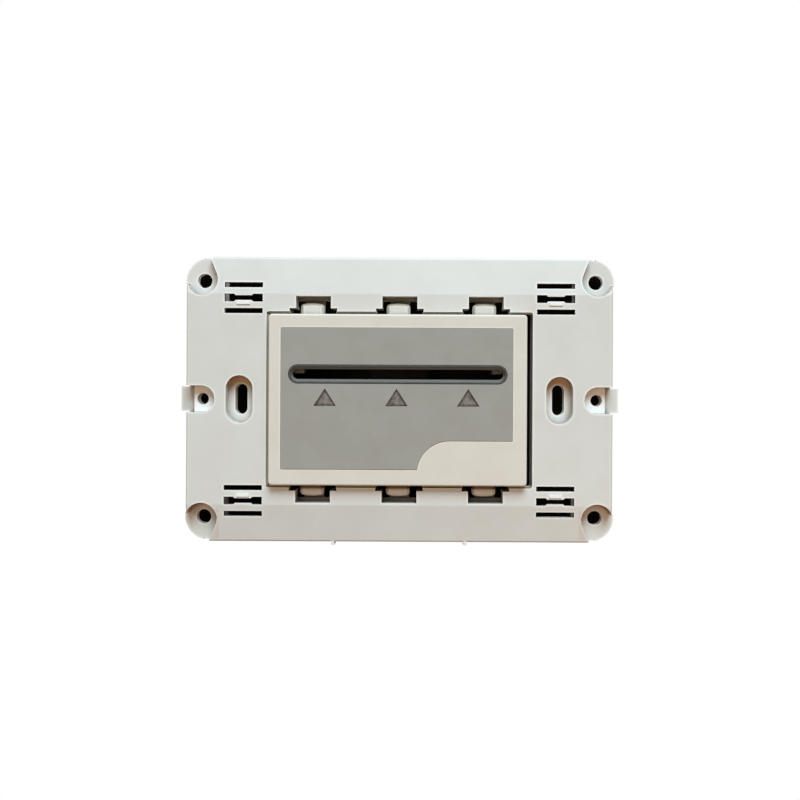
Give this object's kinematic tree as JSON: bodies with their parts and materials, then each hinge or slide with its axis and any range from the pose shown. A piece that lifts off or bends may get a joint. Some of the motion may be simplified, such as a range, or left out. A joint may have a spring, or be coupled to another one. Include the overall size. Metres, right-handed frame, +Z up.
{
  "type": "hotel key card switch",
  "caption": "Wall module with a card slot, label plate and arrow lenses, snapped into an oblong support frame; a lever and microswitch sense the card and screw terminals take the wires.",
  "frame": {"origin": "middle of the support frame's back, on the wall plane", "axes": "+X to the right and +Z up as seen from the front, +Y into the wall"},
  "size_m": [0.1156, 0.0481, 0.0753],
  "materials": {
    "frame_plastic": "satin moulded, off-white",
    "cover_plastic": "satin moulded, warm cream",
    "label_plastic": "matt, warm grey",
    "ring_metal": "satin metallic grey coating",
    "smoked_lens": "smoked clear",
    "clear_plastic": "clear grey",
    "black_plastic": "moulded black",
    "lever_plastic": "moulded black",
    "pin_steel": "bright drawn",
    "plunger_plastic": "moulded red",
    "tinned_metal": "tinned",
    "board_laminate": "green solder mask",
    "led_resin": "clear diffused",
    "relay_plastic": "moulded blue",
    "capacitor_plastic": "dipped red",
    "can_metal": "sleeved can",
    "resistor_ceramic": "glazed tan",
    "block_plastic": "moulded dark grey",
    "terminal_brass": "drawn",
    "cage_metal": "nickelled",
    "screw_metal": "zinc plated",
    "housing_plastic": "moulded grey"
  },
  "bodies": {
    "module": {"support_frame": "frame_plastic", "front_cover": "cover_plastic", "label_plate": "label_plastic", "slot_escutcheon": "ring_metal", "arrow_lens_left": "smoked_lens", "arrow_lens_centre": "smoked_lens", "arrow_lens_right": "smoked_lens", "card_guide_lower": "black_plastic", "card_guide_upper": "black_plastic", "guide_ribs": "clear_plastic", "lever_pin": "pin_steel", "lever_spring": "pin_steel", "microswitch_case": "black_plastic", "microswitch_pins": "tinned_metal", "led_board": "board_laminate", "led_left": "led_resin", "led_centre": "led_resin", "led_right": "led_resin", "led_leads": "tinned_metal", "link_pins": "tinned_metal", "main_board": "board_laminate", "delay_relay": "relay_plastic", "supply_capacitor": "capacitor_plastic", "smoothing_capacitor": "can_metal", "control_chip": "black_plastic", "resistors": "resistor_ceramic", "board_screws": "pin_steel", "terminal_block": "block_plastic", "rear_housing": "housing_plastic", "terminal_bar_1": "terminal_brass", "terminal_bar_2": "terminal_brass", "terminal_bar_3": "terminal_brass", "terminal_bar_4": "terminal_brass"},
    "lever": {"card_lever": "lever_plastic"},
    "plunger": {"microswitch_plunger": "plunger_plastic"},
    "screw_1": {"terminal_screw_1": "screw_metal"},
    "cage_1": {"terminal_cage_1": "cage_metal"},
    "screw_2": {"terminal_screw_2": "screw_metal"},
    "cage_2": {"terminal_cage_2": "cage_metal"},
    "screw_3": {"terminal_screw_3": "screw_metal"},
    "cage_3": {"terminal_cage_3": "cage_metal"},
    "screw_4": {"terminal_screw_4": "screw_metal"},
    "cage_4": {"terminal_cage_4": "cage_metal"}
  },
  "joints": [
    {"name": "card_lever_swing", "type": "hinge", "parent": "module", "child": "lever", "pos_m": [-0.0004, 0.014, 0.01305], "axis": [1, 0, 0], "range_deg": [0, 42], "stiffness_Nm_per_rad": 0.001, "springref_deg": -20.05, "deforming": ["lever_spring"]},
    {"name": "switch_plunger_travel", "type": "slide", "parent": "module", "child": "plunger", "axis": [0, 1, 0], "range_m": [0, 0.0009]},
    {"name": "terminal_screw_1_turn", "type": "hinge", "parent": "module", "child": "screw_1", "pos_m": [-0.01465, 0.0364, -0.0124], "axis": [0, 1, 0], "range_deg": [0, 1080]},
    {"name": "terminal_cage_1_travel", "type": "slide", "parent": "module", "child": "cage_1", "axis": [0, 1, 0], "range_m": [0, 0.0018]},
    {"name": "terminal_screw_2_turn", "type": "hinge", "parent": "module", "child": "screw_2", "pos_m": [-0.00515, 0.0364, -0.0124], "axis": [0, 1, 0], "range_deg": [0, 1080]},
    {"name": "terminal_cage_2_travel", "type": "slide", "parent": "module", "child": "cage_2", "axis": [0, 1, 0], "range_m": [0, 0.0018]},
    {"name": "terminal_screw_3_turn", "type": "hinge", "parent": "module", "child": "screw_3", "pos_m": [0.00435, 0.0364, -0.0124], "axis": [0, 1, 0], "range_deg": [0, 1080]},
    {"name": "terminal_cage_3_travel", "type": "slide", "parent": "module", "child": "cage_3", "axis": [0, 1, 0], "range_m": [0, 0.0018]},
    {"name": "terminal_screw_4_turn", "type": "hinge", "parent": "module", "child": "screw_4", "pos_m": [0.01385, 0.0364, -0.0124], "axis": [0, 1, 0], "range_deg": [0, 1080]},
    {"name": "terminal_cage_4_travel", "type": "slide", "parent": "module", "child": "cage_4", "axis": [0, 1, 0], "range_m": [0, 0.0018]}
  ],
  "couplings": [
    {"joint": "card_lever_swing", "follows": "switch_plunger_travel", "rad_per_m": 814.49},
    {"joint": "terminal_screw_1_turn", "follows": "terminal_cage_1_travel", "rad_per_m": 10472},
    {"joint": "terminal_screw_2_turn", "follows": "terminal_cage_2_travel", "rad_per_m": 10472},
    {"joint": "terminal_screw_3_turn", "follows": "terminal_cage_3_travel", "rad_per_m": 10472},
    {"joint": "terminal_screw_4_turn", "follows": "terminal_cage_4_travel", "rad_per_m": 10472}
  ]
}
